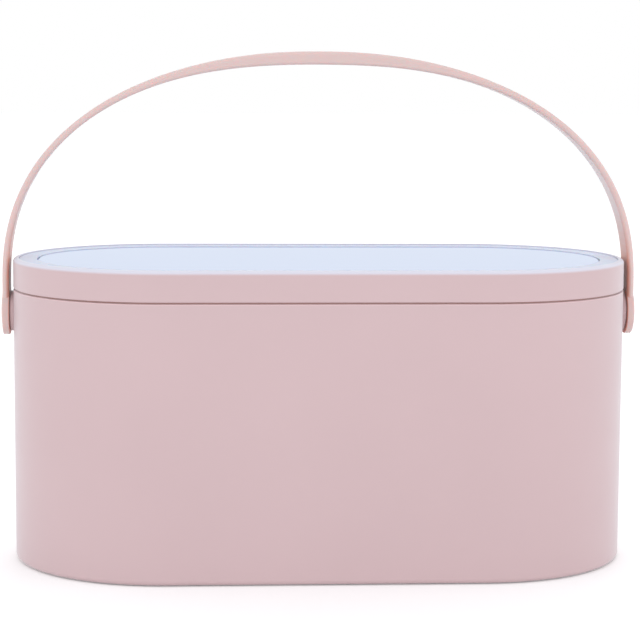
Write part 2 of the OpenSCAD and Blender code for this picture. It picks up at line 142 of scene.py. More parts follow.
class FittingSizes(PropertyGroup):
    head_radius: length("Pin head radius", "Radius of the pivot pin's head", 6.5)
    head_thickness: length("Pin head thickness", "Thickness of the pivot pin's head", 1.7)
    head_gap: length("Head gap", "Space under the pivot pin's head", 0.05)
    pin_radius: length("Pin radius", "Radius of the pivot pin", 3)
    clip_width: length("Clip groove width", "Width of the pin's groove for its clip", 0.8)
    clip_depth: length("Clip groove depth", "Depth of the pin's groove for its clip", 0.6)
    pin_tip: length("Pin tip", "Length of the pin past its groove", 1)
    washer: length("Washer thickness", "Thickness of the backing washer", 0.8)
    boss_radius: length("Boss radius", "Radius of the boss on the tub's end", 8.5)
    boss_out: length("Boss height", "How far the boss stands out", 1.1)
    boss_round: length("Boss rounding", "Rounding of the boss's edge", 0.25)
    inner_boss: length("Inner boss radius", "Radius of the boss inside the wall", 5.2)
    inner_boss_out: length("Inner boss height", "How far the inner boss stands in", 0.6)
    foot_radius: length("Foot radius", "Radius of a rubber foot", 6.8)
    foot_height: length("Foot height", "Height of a rubber foot", 1.4)
    foot_x: length("Foot place, length", "Distance of the feet from the case's ends", 46)
    foot_y: length("Foot place, depth", "Distance of the feet from the front and back", 28)
    foot_gap: length("Foot gap", "Space round a foot in its pocket", 0.2)
    foot_pocket: length("Foot pocket", "Depth of a foot's pocket", 1)
    screw_head: length("Screw head radius", "Radius of a lid screw's head", 2.6)
    screw_head_height: length("Screw head height", "Height of a lid screw's head", 1.6)
    screw_radius: length("Screw radius", "Radius of a lid screw", 1.3)
    screw_length: length("Screw length", "Length of a lid screw under its head", 8)
    screw_end: length("End screws", "Distance of the end screws from the case's ends", 18)
    screw_in_x: length("Side screws, length", "Distance of the side screws from the case's ends", 58)
    screw_in_y: length("Side screws, depth", "Distance of the side screws from front and back", 20)
    screw_back_x: length("Back screw", "Distance of the back screw left of the middle", 30)
    screw_front_y: length("Front screw", "Distance of the front screw from the front", 16)
    tray: length("Tray underside", "Depth of the lid's tray below the seam", 6.2)
    socket_length: length("Socket length", "Length of the charging socket's mouth", 9)
    socket_height: length("Socket height", "Height of the charging socket's mouth", 3.2)
    socket_depth: length("Socket depth", "Depth of the charging socket", 7.2)
    socket_mouth: length("Socket place", "Distance of the socket's mouth from the case's back", 5.2)
    socket_rise: length("Socket rise", "Height of the socket above the seam", 0.8)
    socket_wall: length("Socket wall", "Thickness of the socket's sheet", 0.35)
    socket_back: length("Socket back", "Thickness of the socket's back", 2)
    slot_gap: length("Slot gap", "Space between the socket and the lid's slot", 0.3)


class StandSizes(PropertyGroup):
    length: length("Stand length", "Length from the pin to the free end", 68)
    width: length("Stand width", "Width of the stand", 84)
    thickness: length("Stand thickness", "Thickness of the plate and radius of the barrel", 3)
    corner: length("Stand corner", "Radius of the free end's corners", 10)
    edge_round: length("Stand rounding", "Rounding of the plate's edges", 0.8)
    pin_y: length("Pin place", "Distance of the stand's pin behind the middle", 30)
    pin_drop: length("Pin drop", "Depth of the stand's pin below the seam", 10)
    pin_radius: length("Stand pin radius", "Radius of the stand's pin", 1.5)
    pin_gap: length("Pin gap", "Running clearance round the pin", 0.05)
    lug: length("Lug width", "Width of each ear that holds the pin, with its gap", 5.3)
    pad_radius: length("Bumper radius", "Radius of a rubber bumper", 3)
    pad_height: length("Bumper height", "Height of a rubber bumper", 0.5)


class CaseColours(PropertyGroup):
    case: colour("Case", "Satin plastic of tub and lid", (0.605, 0.438, 0.452))
    handle: colour("Handle", "Satin plastic of the handle", (0.70, 0.54, 0.52))
    mirror: colour("Mirror", "Silvered glass", (0.735, 0.80, 0.93))
    ring: colour("Light ring", "Frosted plastic round the mirror", (0.60, 0.655, 0.80))
    # painted highlight: pale lavender laid on the lid's rounded top edge
    rim: colour("Rim", "Pale top of the lid's rim", (0.68, 0.67, 0.765))
    shade: colour("Shadow line", "Groove between tub and lid", (0.38, 0.21, 0.19))
    # painted highlight on the tub's rounded upper edge, just under the groove
    edge: colour("Tub edge", "Rounded upper edge of the tub", (0.74, 0.53, 0.545))
    # painted shade with warm bounce light on the arms' inner faces, towards the case
    inner: colour("Arms, inside", "Inner faces of the handle's arms", (0.62, 0.27, 0.19))


# ---------- modelling helpers ----------

def fillet(corners, closed=True, finest=radians(15)):
    """Points of a section whose corners (out, up, radius) are rounded by arcs."""
    points, count = [], len(corners)
    for i, corner in enumerate(corners):
        here, radius = Vector(corner[:2]), corner[2] if len(corner) > 2 else 0
        if radius <= 0 or (not closed and i in (0, count - 1)):
            points.append(here)
            continue
        back = Vector(corners[i - 1][:2]) - here
        ahead = Vector(corners[(i + 1) % count][:2]) - here
        between = back.angle(ahead)
        reach = radius / tan(between / 2)
        start = here + back.normalized() * reach
        centre = here + (back.normalized() + ahead.normalized()).normalized() * (radius / sin(between / 2))
        first = atan2(start.y - centre.y, start.x - centre.x)
        turn = pi - between
        if back.x * ahead.y - back.y * ahead.x > 0:
            turn = -turn
        steps = max(2, round(abs(turn) / finest))
        points += [centre + radius * Vector((cos(first + turn * k / steps), sin(first + turn * k / steps)))
                   for k in range(steps + 1)]
    return points


def begin(name):
    """Adds a small plane as a new object and opens it in edit mode, all selected."""
    bpy.ops.object.select_all(action="DESELECT")
    bpy.ops.mesh.primitive_plane_add(size=MM)
    obj = bpy.context.object
    obj.name = obj.data.name = name
    bpy.ops.object.mode_set(mode="EDIT")
    bpy.ops.mesh.select_mode(type="VERT")
    return obj


def run_line(points):
    """Merges the selected plane to one vertex and extrudes it along points, one edge after another."""
    bpy.ops.mesh.merge(type="CENTER")
    bpy.ops.transform.translate(value=points[0])
    for a, b in zip(points, points[1:]):
        bpy.ops.mesh.extrude_region_move(TRANSFORM_OT_translate={"value": b - a})


def close_up():
    """Merges doubles and turns all faces outwards."""
    bpy.ops.mesh.select_all(action="SELECT")
    bpy.ops.mesh.remove_doubles(threshold=MERGE)
    bpy.ops.mesh.normals_make_consistent(inside=False)
    bpy.ops.mesh.select_all(action="DESELECT")


def draw_section(name, points, closed):
    """Draws a wall section at the front right of the oblong, ready to go round it."""
    line = [Vector((0, -p.x, p.y)) for p in points]
    obj = begin(name)
    run_line(line + line[:1] if closed else line)
    bpy.ops.mesh.select_all(action="SELECT")
    bpy.ops.mesh.remove_doubles(threshold=MERGE)
    return obj


def go_round(straight, steps):
    """Takes the section round both ends of the oblong and along its sides."""
    bpy.ops.transform.translate(value=(straight / 2, 0, 0))
    for side in (1, -1):
        bpy.ops.mesh.spin(steps=steps, angle=-pi, center=(side * straight / 2, 0, 0), axis=(0, 0, 1))
        bpy.ops.mesh.extrude_region_move(TRANSFORM_OT_translate={"value": (-side * straight, 0, 0)})
    close_up()


def oblong(name, corners, case, closed=True):
    """A solid whose section, out from the centre line, goes round the oblong."""
    obj = draw_section(name, fillet(corners, closed), closed)
    go_round(case.length - case.depth, case.end_steps)
    bpy.ops.object.mode_set(mode="OBJECT")
    return obj


def turned(name, points, centre, axis, steps):
    """A solid turned from a section: points are (along the axis, out from it)."""
    axis = Vector(axis)
    side = Vector((0, 0, 1)) if abs(axis.z) < 0.5 else Vector((1, 0, 0))
    line = [Vector(centre) + axis * p.x + side * p.y for p in points]
    obj = begin(name)
    run_line(line)
    bpy.ops.mesh.select_all(action="SELECT")
    bpy.ops.mesh.spin(steps=steps, angle=2 * pi, center=centre, axis=axis)
    close_up()
    bpy.ops.object.mode_set(mode="OBJECT")
    return obj


def rod(radius, start, end, steps=48, soften=0):
    """A plain cutter or boss between two points, its ends softened where asked."""
    start, end = Vector(start), Vector(end)
    bpy.ops.object.select_all(action="DESELECT")
    bpy.ops.mesh.primitive_cylinder_add(vertices=steps, radius=radius, depth=(end - start).length)
    obj = bpy.context.object
    if soften:
        bpy.ops.object.mode_set(mode="EDIT")
        bpy.ops.mesh.select_all(action="DESELECT")
        select_edges(obj, lambda e: sorted(abs(f.normal.z) > 0.5 for f in e.link_faces) == [False, True])
        bpy.ops.mesh.bevel(offset=soften, segments=4, affect="EDGES")
        bpy.ops.object.mode_set(mode="OBJECT")
    turn = Vector((0, 0, 1)).rotation_difference(end - start).to_matrix().to_4x4()
    obj.matrix_world = Matrix.Translation((start + end) / 2) @ turn
    bpy.ops.object.transform_apply(location=True, rotation=True, scale=True)
    return obj


def pivot_rod(radius, start, end, steps=48, soften=0):
    """A rod along the handle's pivot line, between two distances from the middle."""
    return rod(radius, (start, 0, PIVOT_Z), (end, 0, PIVOT_Z), steps, soften)


def select_edges(obj, wanted):
    """Selects the edges of an object in edit mode for which wanted(edge) is true."""
    bpy.ops.mesh.select_mode(type="EDGE")
    mesh = bmesh.from_edit_mesh(obj.data)
    mesh.normal_update()
    for edge in mesh.edges:
        if wanted(edge):
            edge.select_set(True)
    bmesh.update_edit_mesh(obj.data)


def make_active(obj):
    """Selects an object alone, for the operators that act on the selection."""
    bpy.ops.object.select_all(action="DESELECT")
    obj.select_set(True)
    bpy.context.view_layer.objects.active = obj


def combine(obj, tool, operation):
    """Joins a tool to an object, or cuts it out of it, and throws the tool away."""
    make_active(obj)
    bpy.ops.object.modifier_add(type="BOOLEAN")
    modifier = obj.modifiers[-1]
    modifier.object, modifier.operation, modifier.solver = tool, operation, "EXACT"
    bpy.ops.object.modifier_apply(modifier=modifier.name)
    bpy.data.objects.remove(tool, do_unlink=True)
    if not obj.data.polygons:
        raise RuntimeError(f"{obj.name} was lost when its {operation.lower()} was made")


def join_pieces(first, *others):
    """Makes several objects one, each part with its own closed skin."""
    make_active(first)
    for obj in others:
        obj.select_set(True)
    bpy.ops.object.join()
    return first


def set_out(obj, places):
    """Puts a copy of a piece modelled at the origin at each place and joins them."""
    copies = []
    for place in places:
        make_active(obj)
        bpy.ops.object.duplicate_move(TRANSFORM_OT_translate={"value": place})
        bpy.ops.object.transform_apply(location=True, rotation=False, scale=False)
        copies.append(bpy.context.object)
    name = obj.name
    bpy.data.objects.remove(obj, do_unlink=True)
    copies[0].name = copies[0].data.name = name
    return join_pieces(copies[0], *copies[1:])


def rounded_bar(length, depth, height, corner, centre):
    """A bar along Y with rounded long edges."""
    bpy.ops.object.select_all(action="DESELECT")
    bpy.ops.mesh.primitive_cube_add(size=1, location=centre, scale=(length, depth, height))
    obj = bpy.context.object
    bpy.ops.object.transform_apply(location=True, rotation=True, scale=True)
    bpy.ops.object.mode_set(mode="EDIT")
    bpy.ops.mesh.select_all(action="DESELECT")
    select_edges(obj, lambda e: abs(e.verts[0].co.y - e.verts[1].co.y) > depth / 2)
    bpy.ops.mesh.bevel(offset=corner, segments=8, affect="EDGES")
    bpy.ops.object.mode_set(mode="OBJECT")
    return obj


def mark_faces(obj, name, share):
    """Writes share(face), 0 to 1, to a face attribute that the material reads."""
    values = [share(face) for face in obj.data.polygons]
    obj.data.attributes.new(name, "FLOAT", "FACE").data.foreach_set("value", values)


def hand_over(obj, slot, body, *nodes):
    """Shades a finished piece and gives it its material, its body and the nodes it stands for."""
    make_active(obj)
    bpy.ops.object.shade_smooth_by_angle(angle=SMOOTH_BELOW)
    bpy.ops.object.modifier_add(type="WEIGHTED_NORMAL")
    obj.modifiers[-1].keep_sharp = True
    bpy.ops.object.modifier_apply(modifier=obj.modifiers[-1].name)
    obj.data.materials.clear()
    obj.data.materials.append(finish(slot))
    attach(obj, body)
    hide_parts(*nodes)


# ---------- materials ----------

class Surface:
    """Builds one material's nodes on Object coordinates."""

    def __init__(self, name, base, roughness, metallic=0.0, **sockets):
        self.material = bpy.data.materials.new(name)
        self.material.use_nodes = True
        self.material.diffuse_color = (*base, 1)
        self.tree = self.material.node_tree
        self.shader = self.tree.nodes["Principled BSDF"]
        self.place = self.add("ShaderNodeTexCoord").outputs["Object"]
        self.set(self.shader, **{"Base Color": (*base, 1), "Roughness": roughness, "Metallic": metallic})
        self.set(self.shader, **sockets)

    def add(self, kind, **values):
        node = self.tree.nodes.new(kind)
        for key, value in values.items():
            setattr(node, key, value)
        return node

    def set(self, node, **sockets):
        for key, value in sockets.items():
            node.inputs[key].default_value = value

    def link(self, a, b):
        self.tree.links.new(a, b)

    def stretched(self, scale):
        """Object coordinates drawn out along one way, as brushed metal's are."""
        mapping = self.add("ShaderNodeMapping")
        mapping.inputs["Scale"].default_value = scale
        self.link(self.place, mapping.inputs["Vector"])
        return mapping.outputs["Vector"]

    def noise(self, scale, detail, roughness=0.5, vector=None):
        node = self.add("ShaderNodeTexNoise")
        self.set(node, Scale=scale, Detail=detail, Roughness=roughness)
        self.link(vector or self.place, node.inputs["Vector"])
        return node.outputs["Fac"]

    def cells(self, scale):
        node = self.add("ShaderNodeTexVoronoi")
        self.set(node, Scale=scale)
        self.link(self.place, node.inputs["Vector"])
        return node.outputs["Distance"]

    def between(self, value, low, high):
        """Maps 0.3 to 0.7 of a pattern to low and high."""
        node = self.add("ShaderNodeMapRange")
        self.set(node, **{"From Min": 0.3, "From Max": 0.7, "To Min": low, "To Max": high})
        self.link(value, node.inputs["Value"])
        return node.outputs["Result"]

    def overlay(self, share, other):
        """Lays another colour over what the base colour is so far, by a share of 0 to 1."""
        base = self.shader.inputs["Base Color"]
        mix = self.add("ShaderNodeMix", data_type="RGBA")
        self.link(share, mix.inputs["Factor"])
        self.set(mix, A=base.default_value, B=(*other, 1))
        if base.links:
            self.link(base.links[0].from_socket, mix.inputs["A"])
        self.link(mix.outputs["Result"], base)

    def vary_colour(self, value, other):
        """Lets the base colour wander towards another by a pattern."""
        self.overlay(self.between(value, 0, 1), other)

    def upwards(self, low, high):
        """Rises from 0 to 1 between two heights."""
        height = self.add("ShaderNodeSeparateXYZ")
        self.link(self.place, height.inputs["Vector"])
        share = self.add("ShaderNodeMapRange", interpolation_type="SMOOTHSTEP")
        self.set(share, **{"From Min": low, "From Max": high})
        self.link(height.outputs["Z"], share.inputs["Value"])
        return share.outputs["Result"]

    def marked(self, name):
        """The faces that a piece marks under this name, and 0 on pieces that mark none."""
        return self.add("ShaderNodeAttribute", attribute_name=name).outputs["Fac"]

    def vary_roughness(self, value, low, high):
        """Lets the roughness wander between two values by a pattern."""
        self.link(self.between(value, low, high), self.shader.inputs["Roughness"])

    def bump(self, value, height):
        """Relief of a pattern whose full range is height metres deep."""
        node = self.add("ShaderNodeBump")
        self.set(node, Distance=height)
        self.link(value, node.inputs["Height"])
        if self.shader.inputs["Normal"].links:
            self.link(self.shader.inputs["Normal"].links[0].from_socket, node.inputs["Normal"])
        self.link(node.outputs["Normal"], self.shader.inputs["Normal"])


def darker(base, factor):
    """A colour times a factor below 1."""
    return tuple(channel * factor for channel in base)


def satin_plastic(name, base, roughness=0.42, grain=0.6, rim=None, marks=(), **sockets):
    """Moulded plastic with a fine spark-eroded grain and a slight unevenness from the mould, with painted
    highlights and painted shade laid over it where a rim or marks are given.
    """
    plain = {"Specular IOR Level": 0.8, "Sheen Weight": 0.55, "Sheen Roughness": 0.35,
             "Sheen Tint": (0.9, 0.96, 1, 1)}
    s = Surface(name, base, roughness, **{**plain, **sockets})
    s.vary_colour(s.noise(14, 3), darker(base, 0.97))
    s.vary_roughness(s.noise(40, 3), roughness - 0.03, roughness + 0.04)
    s.bump(s.noise(2600, 2, 0.6), 0.006 * MM * grain)
    s.bump(s.noise(22, 2), 0.05 * MM)
    # rim blends in a painted highlight on the lid's rounded top edge, rising with height
    if rim:
        s.overlay(s.upwards(*rim[1:]), rim[0])
    # Painted light: each mark lays painted shade or a painted highlight over the faces that a piece marks.
    for mark, other in marks:
        s.overlay(s.marked(mark), other)
    return s.material


def mirror_glass(name, base):
    s = Surface(name, base, 0.03, 1.0, **{"Specular Tint": (0.79, 0.845, 0.955, 1)})
    s.vary_roughness(s.noise(60, 4), 0.02, 0.06)
    s.vary_colour(s.noise(9, 2), darker(base, 0.985))
    return s.material


def frosted(name, base):
    s = Surface(name, base, 0.34, **{"Subsurface Weight": 0.25, "Subsurface Scale": 2 * MM,
                                     "Specular IOR Level": 0.3})
    s.vary_colour(s.noise(300, 2), darker(base, 0.97))
    s.vary_roughness(s.noise(900, 2), 0.3, 0.4)
    s.bump(s.noise(3200, 2), 0.003 * MM)
    return s.material


def soft_rubber(name, base):
    s = Surface(name, base, 0.82, **{"Sheen Weight": 0.15})
    s.vary_colour(s.noise(120, 4), darker(base, 0.85))
    s.vary_roughness(s.noise(500, 2), 0.76, 0.9)
    s.bump(s.noise(1800, 3), 0.02 * MM)
    return s.material


def brushed_metal(name, base, roughness, along):
    s = Surface(name, base, roughness, 1.0)
    lines = s.noise(60, 3, 0.6, s.stretched(along))
    s.vary_colour(lines, darker(base, 0.86))
    s.vary_roughness(lines, roughness - 0.06, roughness + 0.1)
    s.bump(lines, 0.004 * MM)
    return s.material


def painted_metal(name, base):
    s = Surface(name, base, 0.36, **{"Coat Weight": 0.3, "Coat Roughness": 0.2})
    s.vary_colour(s.noise(40, 3), darker(base, 0.96))
    s.vary_roughness(s.noise(200, 3), 0.33, 0.42)
    s.bump(s.noise(900, 3), 0.006 * MM)
    return s.material


def lacquered_board(name, base):
    """Circuit board: solder resist over copper tracks."""
    s = Surface(name, base, 0.3, **{"Coat Weight": 0.5})
    tracks = s.add("ShaderNodeTexBrick")
    s.set(tracks, Scale=420, Color1=(0, 0, 0, 1), Color2=(0.25, 0.25, 0.25, 1), Mortar=(1, 1, 1, 1))
    s.set(tracks, **{"Mortar Size": 0.06, "Brick Width": 1.2, "Row Height": 0.5})
    s.link(s.place, tracks.inputs["Vector"])
    s.vary_colour(tracks.outputs["Color"], (0.12, 0.42, 0.2))
    s.bump(tracks.outputs["Color"], 0.02 * MM)
    return s.material


def crinkled_foil(name, base):
    s = Surface(name, base, 0.32, 0.9)
    s.vary_colour(s.noise(60, 4), darker(base, 0.85))
    s.vary_roughness(s.noise(220, 3), 0.24, 0.42)
    s.bump(s.noise(260, 4), 0.08 * MM)
    return s.material


def foam(name, base):
    s = Surface(name, base, 0.95)
    pores = s.cells(1400)
    s.vary_colour(pores, darker(base, 0.5))
    s.bump(pores, 0.15 * MM)
    return s.material


def plain_resin(name, base, roughness, grain):
    s = Surface(name, base, roughness)
    s.vary_colour(s.noise(200, 3), darker(base, 0.9))
    s.vary_roughness(s.noise(700, 2), roughness - 0.05, roughness + 0.07)
    s.bump(s.noise(2200, 2), grain)
    return s.material


def make_materials(scene):
    """One material for each of the record's slots."""
    colours = scene.case_colours
    top = scene.case_sizes.seam + scene.lid_sizes.height
    # the painted highlight on the lid's rim fades in between these depths below the lid's top
    rim_highlight_starts, rim_highlight_full = top - 1.9 * MM, top - 0.6 * MM
    # painted shade in the groove under the lid, and a painted highlight on the tub's upper edge
    marks = [("groove", colours.shade), ("edge", colours.edge)]
    soft = {"Specular IOR Level": 0.3, "Sheen Weight": 0.2, "Subsurface Weight": 0.4,
            "Subsurface Scale": 3 * MM, "Subsurface Radius": (1.0, 0.35, 0.25)}
    return {
        "pink_plastic": satin_plastic("pink_plastic", colours.case, marks=marks),
        "lid_plastic": satin_plastic("lid_plastic", colours.case, rim=(colours.rim, rim_highlight_starts, rim_highlight_full)),
        # the inside mark is painted shade and bounce light on the arms' inner faces
        "handle_plastic": satin_plastic("handle_plastic", colours.handle, 0.38, 0.4,
                                        marks=[("inside", colours.inner)], **soft),
        "grey_rubber": soft_rubber("grey_rubber", (0.10, 0.09, 0.095)),
        "pale_rubber": soft_rubber("pale_rubber", (0.75, 0.65, 0.67)),
        "pin_metal": painted_metal("pin_metal", (0.64, 0.46, 0.47)),
        "steel": brushed_metal("steel", (0.53, 0.54, 0.57), 0.28, (1, 12, 12)),
        "white_plastic": plain_resin("white_plastic", (0.86, 0.86, 0.88), 0.5, 0.005 * MM),
        "frosted_plastic": frosted("frosted_plastic", colours.ring),
        "mirror_glass": mirror_glass("mirror_glass", colours.mirror),
        "strip_film": plain_resin("strip_film", (0.79, 0.79, 0.7), 0.4, 0.01 * MM),
        "lamp_body": plain_resin("lamp_body", (0.93, 0.83, 0.35), 0.25, 0.01 * MM),
        "copper_foil": brushed_metal("copper_foil", (0.72, 0.33, 0.17), 0.3, (12, 1, 1)),
        "green_board": lacquered_board("green_board", (0.02, 0.13, 0.06)),
        "black_chip": plain_resin("black_chip", (0.012, 0.012, 0.014), 0.55, 0.02 * MM),
        "battery_foil": crinkled_foil("battery_foil", (0.6, 0.62, 0.66)),
        "black_foam": foam("black_foam", (0.02, 0.02, 0.022)),
        "red_wire": plain_resin("red_wire", (0.45, 0.015, 0.015), 0.35, 0.004 * MM),
    }


MATERIALS = {}


def finish(slot):
    """The material of one of the record's slots, made on first use."""
    if not MATERIALS:
        MATERIALS.update(make_materials(bpy.context.scene))
    return MATERIALS[slot]


# ---------- pieces ----------

class MAKEUPCASE_OT_tub(Operator):
    """Model the tub: an oblong shell with a shadow groove, end bosses and foot pockets"""
    bl_idname = "makeup_case.tub"
    bl_label = "Tub"

    def execute(self, context):
        case, fit = context.scene.case_sizes, context.scene.fitting_sizes
        half, low = case.depth / 2, case.seam - case.groove_height
        inner, floor, groove = half - case.wall, case.base + case.floor, half - case.groove_depth
        obj = oblong("tub", [
            (0, case.base), (half - case.draft, case.base, case.base_round), (half, low, case.tub_edge),
            (groove, low, CRISP), (groove, case.seam, case.groove_round), (inner, case.seam, EASED),
            (inner - case.draft, floor, case.floor_round), (0, floor)], case, closed=False)
        end = case.length / 2
        wall_in, outer_root, inner_root = end - case.wall, end - case.wall + EASED, end - 0.5 * MM
        bore_in, bore_out = end - 9 * MM, end + 3 * MM
        pocket, pocket_low, pocket_top = fit.foot_radius + fit.foot_gap, -MM, case.base + fit.foot_pocket
        for side in (1, -1):
            combine(obj, pivot_rod(fit.boss_radius, side * outer_root, side * (end + fit.boss_out), 64,
                                   fit.boss_round), "UNION")
            combine(obj, pivot_rod(fit.inner_boss, side * (wall_in - fit.inner_boss_out), side * inner_root),
                    "UNION")
            combine(obj, pivot_rod(fit.pin_radius, side * bore_in, side * bore_out), "DIFFERENCE")
            for front in (1, -1):
                x, y = side * (end - fit.foot_x), front * (half - fit.foot_y)
                combine(obj, rod(pocket, (x, y, pocket_low), (x, y, pocket_top)), "DIFFERENCE")
        # painted shade: the groove's walls are tinted dark brown where shade falls between tub and lid
        mark_faces(obj, "groove", lambda f: float(low < f.center.z < case.seam and f.normal.z < 0.5))
        # painted highlight: the upward-facing rounding of the tub's upper edge is tinted lighter
        mark_faces(obj, "edge", lambda f: float(low - case.tub_edge < f.center.z < low and f.normal.z > 0.15))
        hand_over(obj, "pink_plastic", "case", "case_shell")
        return {"FINISHED"}


class MAKEUPCASE_OT_feet(Operator):
    """Model the four rubber feet with their rounded rims and shallow cups"""
    bl_idname = "makeup_case.feet"
    bl_label = "Feet"

    def execute(self, context):
        case, fit = context.scene.case_sizes, context.scene.fitting_sizes
        r, top = fit.foot_radius, fit.foot_height
        cup, cup_in, cup_out = 0.12 * MM, r - 2.4 * MM, r - 1.9 * MM
        section = fillet([(cup, 0), (cup, cup_in, 0.2 * MM), (0, cup_out, CRISP), (0, r, 0.35 * MM),
                          (top, r, CRISP), (top, 0)], closed=False)
        x, y = case.length / 2 - fit.foot_x, case.depth / 2 - fit.foot_y
        obj = set_out(turned("feet", section, (0, 0, 0), (0, 0, 1), 40),
                      [(a * x, b * y, 0) for a in (1, -1) for b in (1, -1)])
        hand_over(obj, "grey_rubber", "case", "rubber_feet")
        return {"FINISHED"}


class MAKEUPCASE_OT_lid(Operator):
    """Model the lid's frame: rounded rim, ledge, lip with its seal groove, and the socket's slot"""
    bl_idname = "makeup_case.lid"
    bl_label = "Lid frame"

    def execute(self, context):
        case, lid, fit = context.scene.case_sizes, context.scene.lid_sizes, context.scene.fitting_sizes
        half, seam = case.depth / 2, case.seam
        top, panel = seam + lid.height, half - lid.rim
        lip, low, deck = half - case.wall - lid.lip_gap, seam - lid.lip, seam + lid.deck
        lip_in, seal_in = lip - lid.lip_wall, lip - lid.seal_depth
        seal_low = low + lid.seal_low
        seal_top = seal_low + lid.seal_height
        ledge = top - lid.panel_drop - lid.ledge_drop
        ledge_in, ledge_low = panel - lid.ledge_width, ledge - lid.ledge_thickness
        obj = oblong("lid_shell", [
            (lip_in, low, 0.2 * MM), (lip, low, 0.4 * MM), (lip, seal_low), (seal_in, seal_low),
            (seal_in, seal_top), (lip, seal_top), (lip, seam, CRISP), (half, seam, 0.35 * MM),
            (half, top, lid.rim_round), (panel, top, EASED), (panel, ledge, CRISP), (ledge_in, ledge, CRISP),
            (ledge_in, ledge_low, CRISP), (panel, ledge_low, 0.2 * MM), (panel, deck, 0.5 * MM),
            (lip_in, deck, 0.2 * MM)], case)
        slot_length, slot_height = fit.socket_length + 2 * fit.slot_gap, fit.socket_height + 2 * fit.slot_gap
        slot_depth, slot_corner = 16 * MM, 1.6 * MM
        middle = (0, half - 2 * MM, seam + fit.socket_rise + fit.socket_height / 2)
        combine(obj, rounded_bar(slot_length, slot_depth, slot_height, slot_corner, middle), "DIFFERENCE")
        hand_over(obj, "lid_plastic", "lid", "lid_frame")
        return {"FINISHED"}


class MAKEUPCASE_OT_mirror(Operator):
    """Model the mirror with its ground edge and the frosted light ring round it"""
    bl_idname = "makeup_case.mirror"
    bl_label = "Mirror and light ring"

    def execute(self, context):
        case, lid = context.scene.case_sizes, context.scene.lid_sizes
        top = case.seam + lid.height - lid.panel_drop
        ring = case.depth / 2 - lid.rim - lid.ring_gap
        ring_in = ring - lid.ring
        glass, face = ring_in - lid.mirror_gap, top - lid.mirror_drop
        back, ring_back = top - lid.mirror_thickness, top - lid.ring_thickness
        mirror = oblong("mirror", [
            (0, back), (glass, back, CRISP), (glass, face - lid.mirror_edge, CRISP / 2),
            (glass - lid.mirror_bevel, face, CRISP), (0, face)], case, closed=False)
        hand_over(mirror, "mirror_glass", "lid", "mirror_glass")
        light = oblong("frosted_ring", [
            (ring_in, ring_back, CRISP), (ring, ring_back, CRISP), (ring, top, EASED), (ring_in, top, EASED)],
            case)
        hand_over(light, "frosted_plastic", "lid", "light_ring")
        return {"FINISHED"}


class MAKEUPCASE_OT_handle(Operator):
    """Model the bail handle: an arched strap with rounded edges, a thicker grip and round pivot pads"""
    bl_idname = "makeup_case.handle"
    bl_label = "Handle"

    STEPS = 120                         # lengths that the arch is made of
    NEAR = 0.25                         # degrees to either side, for the arch's direction at a point

    def middle(self, h, t):
        """Point of the arch's middle line at a turn of 0 to 180 degrees."""
        reach = h.pad_inner + h.pad_thickness / 2
        rise = h.crown - h.grip_thickness / 2 - h.arm
        c, s, power = cos(radians(t)), max(sin(radians(t)), 0), 2 / h.squareness
        x = reach * (1 if c > 0 else -1) * abs(c) ** power
        return Vector((x, 0, PIVOT_Z + h.arm + rise * s ** power))

    def side(self, h, sign):
        """The strap's outer (1) or inner (-1) line, from the right pivot over to the left one."""
        reach = h.pad_inner + h.pad_thickness / 2 + sign * h.arm_thickness / 2
        line = [Vector((reach, 0, PIVOT_Z)), Vector((reach, 0, PIVOT_Z + h.arm / 2))]
        for i in range(self.STEPS + 1):
            t = 180 * i / self.STEPS
            run = self.middle(h, min(t + self.NEAR, 180)) - self.middle(h, max(t - self.NEAR, 0))
            out = Vector((run.z, 0, -run.x)).normalized()
            swell = max(sin(radians(t)), 0) ** h.gather
            thickness = h.arm_thickness + (h.grip_thickness - h.arm_thickness) * swell
            line.append(self.middle(h, t) + out * sign / 2 * thickness)
        line += [Vector((-p.x, 0, p.z)) for p in (line[1], line[0])]
        return line

    def execute(self, context):
        h = context.scene.handle_sizes
        obj = begin("bail_handle")
        run_line(self.side(h, 1))
        bpy.ops.mesh.select_all(action="DESELECT")
        bpy.ops.mesh.primitive_plane_add(size=MM)
        run_line(self.side(h, -1))
        bpy.ops.mesh.select_all(action="SELECT")
        bpy.ops.mesh.bridge_edge_loops()
        bpy.ops.mesh.select_all(action="SELECT")
        bpy.ops.transform.translate(value=(0, -h.width / 2, 0))
        bpy.ops.mesh.extrude_region_move(TRANSFORM_OT_translate={"value": (0, h.width, 0)})
        close_up()
        select_edges(obj, lambda e: len(e.link_faces) == 2 and e.calc_face_angle(0) > radians(60)
                     and abs(e.verts[0].co.y - e.verts[1].co.y) < MM
                     and max(v.co.z for v in e.verts) > PIVOT_Z + 0.1 * MM)
        bpy.ops.mesh.bevel(offset=h.edge_round, segments=6, affect="EDGES", clamp_overlap=False)
        bpy.ops.object.mode_set(mode="OBJECT")
        for side in (1, -1):
            inner, outer = side * h.pad_inner, side * (h.pad_inner + h.pad_thickness)
            recess, past = outer - side * h.recess_depth, side * MM
            combine(obj, pivot_rod(h.pad_radius, inner, outer, 96, h.pad_round), "UNION")
            combine(obj, pivot_rod(h.bore, inner - past, outer + past), "DIFFERENCE")
            combine(obj, pivot_rod(h.recess_radius, recess, outer + 2 * past, 64), "DIFFERENCE")
        # painted shade and bounce light: the arms' inward faces are tinted salmon, fading out upwards
        mark_faces(obj, "inside", lambda f: max(0.0, -f.normal.x * (1 if f.center.x > 0 else -1))
                   * min(1.0, max(0.0, (PIVOT_Z + h.bounce_shade_top - f.center.z) / h.bounce_shade_fade)))
        hand_over(obj, "handle_plastic", "handle",
                  "handle", "handle_arm_left", "handle_arm_right")
        return {"FINISHED"}


